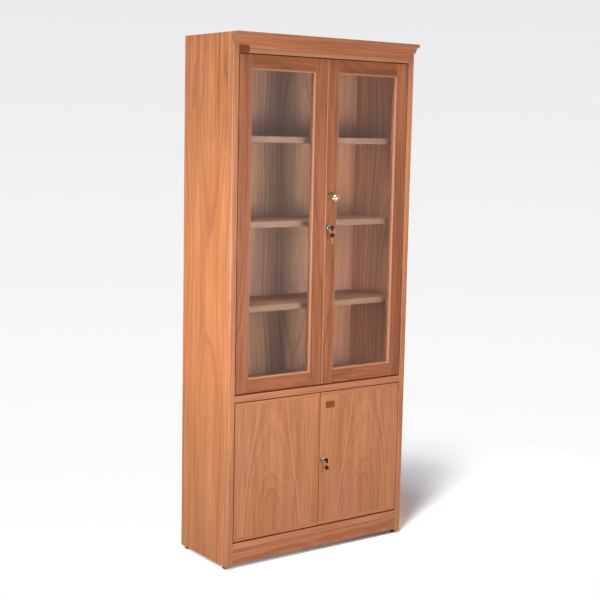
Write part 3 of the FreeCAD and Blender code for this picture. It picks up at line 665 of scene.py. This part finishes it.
def makePlate(name, spot, board, body):
    mesh = bmesh.new()
    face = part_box(board)[0].y
    thick, rim, sink = plate["thick"], plate["rim"], plate["sink"]
    edge = thick * plate["edge"]
    rings = []
    layers = ((0.0, 0.0), (0.0, edge - thick), (edge, -thick), (rim, -thick), (rim + sink, sink - thick))
    for inset, y in layers:
        width, height = plate["width"] - 2 * inset, plate["height"] - 2 * inset
        outline = roundedOutline(width, height, plate["corner"] - inset)
        rings.append([mesh.verts.new((spot[0] + x, face + y, spot[1] + z)) for x, z in outline])
    joinRings(mesh, rings)
    addPiece(name, mesh, (plateFinish,), body)


makePlate("friezePlate", plate["friezeSpot"], "frieze_board", "case")
makePlate("doorPlate", plate["doorSpot"], "lower_right_panel", "lower_right_door")
print("bare plates made")

# screw and nail heads, too small for the CAD
screwHead = {"radius": 0.0030, "rise": 0.0009, "slot": 0.0007}
nailHead = {"radius": 0.0022, "rise": 0.0006, "slot": 0.0}
camScrew = {"radius": 0.0036, "rise": 0.0004, "slot": 0.0009}
headShape = {"sides": 12, "rings": ((1.0, 0.0), (1.0, 0.4), (0.8, 0.85), (0.4, 1.0)), "barReach": 0.62,
             "barMiddle": 0.83, "barHeight": 0.46}
strikeScrews = {"shares": (0.25, 0.75)}
catchScrews = {"behind": 0.0073, "below": 0.014, "shares": (-0.7, 0.7)}
backNails = {"rows": 14, "margin": 0.03, "inset": 0.004, "perPanel": 6, "firstX": -0.35, "stepX": 0.14}
toBack, toFloor = Vector((0, 1, 0)), Vector((0, 0, -1))


# the cross slot is drawn as dark bars on the head: painted shade of the recessed slot
def addSlotShadeBars(mesh, head, place):
    reach, half = headShape["barReach"] * head["radius"], head["slot"] / 2
    for barX, barY in ((reach, half), (half, reach)):
        bar = bmesh.ops.create_cube(mesh, size=1.0)["verts"]
        for vert in bar:
            level = head["rise"] * (headShape["barMiddle"] + headShape["barHeight"] * vert.co.z)
            vert.co = place(2 * barX * vert.co.x, 2 * barY * vert.co.y, level)
        for face in {face for vert in bar for face in vert.link_faces}:
            face.material_index = 1


def makeHeads(name, head, spots, facing, body):
    mesh = bmesh.new()
    turned = Vector((0.0, 0.0, 1.0)).rotation_difference(facing).to_matrix()
    angles = [math.radians(360 / headShape["sides"] * step) for step in range(headShape["sides"])]
    for spot in spots:
        def place(x, y, z):
            return Vector(spot) + turned @ Vector((x, y, z))

        rings = []
        for share, lift in headShape["rings"]:
            radius = head["radius"] * share
            rings.append([mesh.verts.new(place(radius * math.cos(angle), radius * math.sin(angle),
                                               head["rise"] * lift)) for angle in angles])
        joinRings(mesh, rings)
        if head["slot"]:
            addSlotShadeBars(mesh, head, place)
    addPiece(name, mesh, (plated, darkPlasticAndSlotShade), body)


for side in ("left", "right"):
    for tier in ("upper", "lower"):
        low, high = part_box(tier + "_" + side + "_strike")
        level = (low.z + high.z) / 2
        spots = [(low.x + share * (high.x - low.x), high.y, level) for share in strikeScrews["shares"]]
        makeHeads(tier + side.capitalize() + "StrikeScrews", screwHead, spots, toBack,
                  tier + "_" + side + "_door")
for tier in ("upper", "lower"):
    low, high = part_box(tier + "_lock_cam")
    heel = ((low.x + high.x) / 2, high.y, high.z - (high.x - low.x) / 2)
    makeHeads(tier + "CamScrewCross", camScrew, [heel], toBack, tier + "_lock_core")
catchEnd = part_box("magnet_catches")[1].x
spots = []
for panel, strike in (("top_panel", "upper_left_strike"), ("divider_panel", "lower_left_strike")):
    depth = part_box(strike)[1].y + catchScrews["behind"]
    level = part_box(panel)[0].z - catchScrews["below"]
    spots += [(share * catchEnd, depth, level) for share in catchScrews["shares"]]
makeHeads("catchScrews", screwHead, spots, toFloor, "case")
backLow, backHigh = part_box("back_panel")
rowGap = (backHigh.z - backLow.z - 2 * backNails["margin"]) / (backNails["rows"] - 1)
edges = (backLow.x + backNails["inset"], backHigh.x - backNails["inset"])
spots = []
for row in range(backNails["rows"]):
    level = backLow.z + backNails["margin"] + row * rowGap
    spots += [(x, backHigh.y, level) for x in edges]
for panel in ("bottom_panel", "divider_panel", "top_panel"):
    low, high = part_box(panel)
    level = (low.z + high.z) / 2
    spots += [(backNails["firstX"] + backNails["stepX"] * step, backHigh.y, level)
              for step in range(backNails["perPanel"])]
makeHeads("backNails", nailHead, spots, toBack, "case")
print("screw and nail heads made")

# stage: pale floor that fades into the sky, and soft lamps
floorLook = {
    "size": 14.0, "tone": 0.42, "shown": 1.56, "tint": (0.975, 1.0, 1.04), "glossShare": 0.25,
    "fadeCentre": (1.05, 0.20, 0.0), "fadeStart": 0.45, "fadeEnd": 1.30,
    "baseStart": -0.03, "baseEnd": 0.01, "baseShare": 0.82,
}
skyLook = {
    "slope": 1.25, "horizon": 0.5, "stops": ((0.1, 1.0), (0.5, 0.868), (0.64, 0.82)), "glossDim": 0.3,
    "frontLight": 0.12, "backLight": 0.26,
}
lamps = {
    "frontSoftbox": {"place": (-0.10, -2.15, 1.14), "aim": (0.0, -0.15, 1.14), "size": (0.6, 0.6),
                     "power": 30.0, "lights": "case", "throughGlass": True},
    "highSoftbox": {"place": (-1.15, -1.2, 4.9), "aim": (0.1, 0.1, 0.3), "size": (1.1, 1.1),
                    "power": 85.0, "lights": "case", "throughGlass": True},
    "leftSoftbox": {"place": (-1.85, -0.30, 1.10), "aim": (-0.45, 0.02, 1.10), "size": (0.7, 0.7),
                    "power": 23.4, "lights": "case", "throughGlass": False},
    "rightFill": {"place": (2.40, 0.42, 1.20), "aim": (0.45, 0.05, 1.05), "size": (0.9, 0.9),
                  "power": 36.0, "lights": "case", "throughGlass": False},
    "backFill": {"place": (0.35, 2.70, 1.30), "aim": (0.0, 0.20, 1.05), "size": (1.2, 1.2),
                 "power": 52.0, "lights": "case", "throughGlass": False},
    "farFloorLamp": {"place": (-1.15, -1.09, 4.7), "aim": (0.5, -0.1, 0.0), "size": (0.7, 1.1),
                     "power": 130.0, "lights": "floor", "throughGlass": True},
    "nearFloorLamp": {"place": (-0.38, -0.62, 4.7), "aim": (0.5, -0.1, 0.0), "size": (0.25, 0.8),
                      "power": 72.0, "lights": "floor", "throughGlass": True},
}


# share of the floor that gives way to the sky: far from the shadow, and less under the case
def floorFade(tree):
    place = objectPlace(tree)
    reach = tree.nodes.new("ShaderNodeVectorMath")
    reach.operation = "DISTANCE"
    tree.links.new(place, reach.inputs[0])
    reach.inputs[1].default_value = floorLook["fadeCentre"]
    fade = shareBetween(tree, reach.outputs["Value"], floorLook["fadeStart"], floorLook["fadeEnd"])
    split = splitOf(tree, place)
    centreY, halfDepth = (cadHigh.y + frontY) / 2, (cadHigh.y - frontY) / 2
    pastSide = calc(tree, "SUBTRACT", calc(tree, "ABSOLUTE", split["X"]), outerX)
    fromCentre = calc(tree, "ABSOLUTE", calc(tree, "SUBTRACT", split["Y"], centreY))
    past = calc(tree, "MAXIMUM", pastSide, calc(tree, "SUBTRACT", fromCentre, halfDepth))
    outside = shareBetween(tree, past, floorLook["baseStart"], floorLook["baseEnd"])
    outside = calc(tree, "MULTIPLY_ADD", outside, floorLook["baseShare"], 1.0 - floorLook["baseShare"])
    return calc(tree, "MULTIPLY", fade, outside)


def makeFloorFinish():
    material, tree, _ = newMaterial("paleFloor")
    path = tree.nodes.new("ShaderNodeLightPath").outputs
    # through glass the floor looks as it does to the camera, but its light on the shelves stays plain
    fromShelf = calc(tree, "MINIMUM", path["Diffuse Depth"], 1.0)
    through = calc(tree, "SUBTRACT", path["Is Transmission Ray"], fromShelf, clamp=True)
    direct = calc(tree, "MAXIMUM", path["Is Camera Ray"], through)
    seen = calc(tree, "MULTIPLY_ADD", path["Is Glossy Ray"], floorLook["glossShare"], direct)
    tone = calc(tree, "MULTIPLY_ADD", seen, floorLook["shown"] - floorLook["tone"], floorLook["tone"])
    tints = [calc(tree, "MULTIPLY", tone, tint) for tint in floorLook["tint"]]
    matt = tree.nodes.new("ShaderNodeBsdfDiffuse")
    tree.links.new(vectorOf(tree, *tints), matt.inputs["Color"])
    clear = tree.nodes.new("ShaderNodeBsdfTransparent")
    share = calc(tree, "MULTIPLY", floorFade(tree), direct)
    blendShaders(tree, share, matt.outputs[0], clear.outputs[0], "Material Output")
    return material


def makeFloor():
    mesh = bmesh.new()
    half = floorLook["size"] / 2
    corners = ((-half, -half, 0.0), (half, -half, 0.0), (half, half, 0.0), (-half, half, 0.0))
    mesh.faces.new([mesh.verts.new(corner) for corner in corners])
    data = bpy.data.meshes.new("floor")
    mesh.to_mesh(data)
    mesh.free()
    floor = bpy.data.objects.new("floor", data)
    scene.collection.objects.link(floor)
    data.materials.append(makeFloorFinish())
    return floor


# the sky is what camera, metal and glass see, and a plain dimmer light falls on the case
def makeWorld():
    world = bpy.data.worlds.new("studio")
    scene.world = world
    world.use_nodes = True
    tree = world.node_tree
    split = splitOf(tree, tree.nodes.new("ShaderNodeTexCoord").outputs["Generated"])
    path = tree.nodes.new("ShaderNodeLightPath").outputs
    height = calc(tree, "MULTIPLY_ADD", split["Z"], skyLook["slope"], skyLook["horizon"])
    shown = tree.nodes["Background"]
    tree.links.new(rampOf(tree, height, skyLook["stops"]), shown.inputs["Color"])
    dimmed = calc(tree, "MULTIPLY_ADD", path["Is Glossy Ray"], -skyLook["glossDim"], 1.0)
    tree.links.new(dimmed, shown.inputs["Strength"])
    lit = tree.nodes.new("ShaderNodeBackground")
    lit.inputs["Color"].default_value = (1.0, 1.0, 1.0, 1.0)
    half = (skyLook["backLight"] - skyLook["frontLight"]) / 2
    strength = calc(tree, "MULTIPLY_ADD", split["Y"], half, skyLook["frontLight"] + half)
    tree.links.new(strength, lit.inputs["Strength"])
    seen = calc(tree, "MAXIMUM", path["Is Camera Ray"], path["Is Glossy Ray"])
    seen = calc(tree, "MAXIMUM", seen, path["Is Transmission Ray"])
    blendShaders(tree, seen, lit.outputs[0], shown.outputs[0], "World Output")


def makeReceivers(name, floor, state):
    group = bpy.data.collections.new(name)
    group.objects.link(floor)
    group.collection_objects[0].light_linking.link_state = state
    return group


def makeLamp(name, lamp, receivers):
    data = bpy.data.lights.new(name, "AREA")
    data.shape = "RECTANGLE"
    data.size, data.size_y = lamp["size"]
    data.energy = lamp["power"]
    light = bpy.data.objects.new(name, data)
    scene.collection.objects.link(light)
    light.location = lamp["place"]
    light.rotation_euler = (Vector(lamp["aim"]) - Vector(lamp["place"])).to_track_quat("-Z", "Y").to_euler()
    light.visible_camera = False
    light.visible_transmission = lamp["throughGlass"]
    light.light_linking.receiver_collection = receivers


floor = makeFloor()
makeWorld()
receivers = {"case": makeReceivers("withoutFloor", floor, "EXCLUDE"),
             "floor": makeReceivers("floorAlone", floor, "INCLUDE")}
for name, lamp in lamps.items():
    makeLamp(name, lamp, receivers[lamp["lights"]])
print("stage set")

# camera at the photograph's view, measured from the case front
viewpoint = {"yaw": 36.241, "pitch": 7.578, "roll": 1.16, "place": (-3.0272, -3.9716, 1.7187),
             "lens": 74.34, "sensor": 36.0}


def makeCamera():
    yaw, pitch, roll = (math.radians(viewpoint[angle]) for angle in ("yaw", "pitch", "roll"))
    ahead = Vector((math.sin(yaw) * math.cos(pitch), math.cos(yaw) * math.cos(pitch), -math.sin(pitch)))
    level = Vector((math.cos(yaw), -math.sin(yaw), 0.0))
    above = level.cross(ahead)
    right = level * math.cos(roll) + above * math.sin(roll)
    up = above * math.cos(roll) - level * math.sin(roll)
    data = bpy.data.cameras.new("photoCamera")
    data.sensor_width = viewpoint["sensor"]
    data.lens = viewpoint["lens"]
    camera = bpy.data.objects.new("photoCamera", data)
    scene.collection.objects.link(camera)
    turned = Matrix((right, up, -ahead)).transposed().to_4x4()
    place = Vector(viewpoint["place"]) + Vector((0.0, frontY, 0.0))
    camera.matrix_world = Matrix.Translation(place) @ turned
    scene.camera = camera


makeCamera()
print("camera placed")
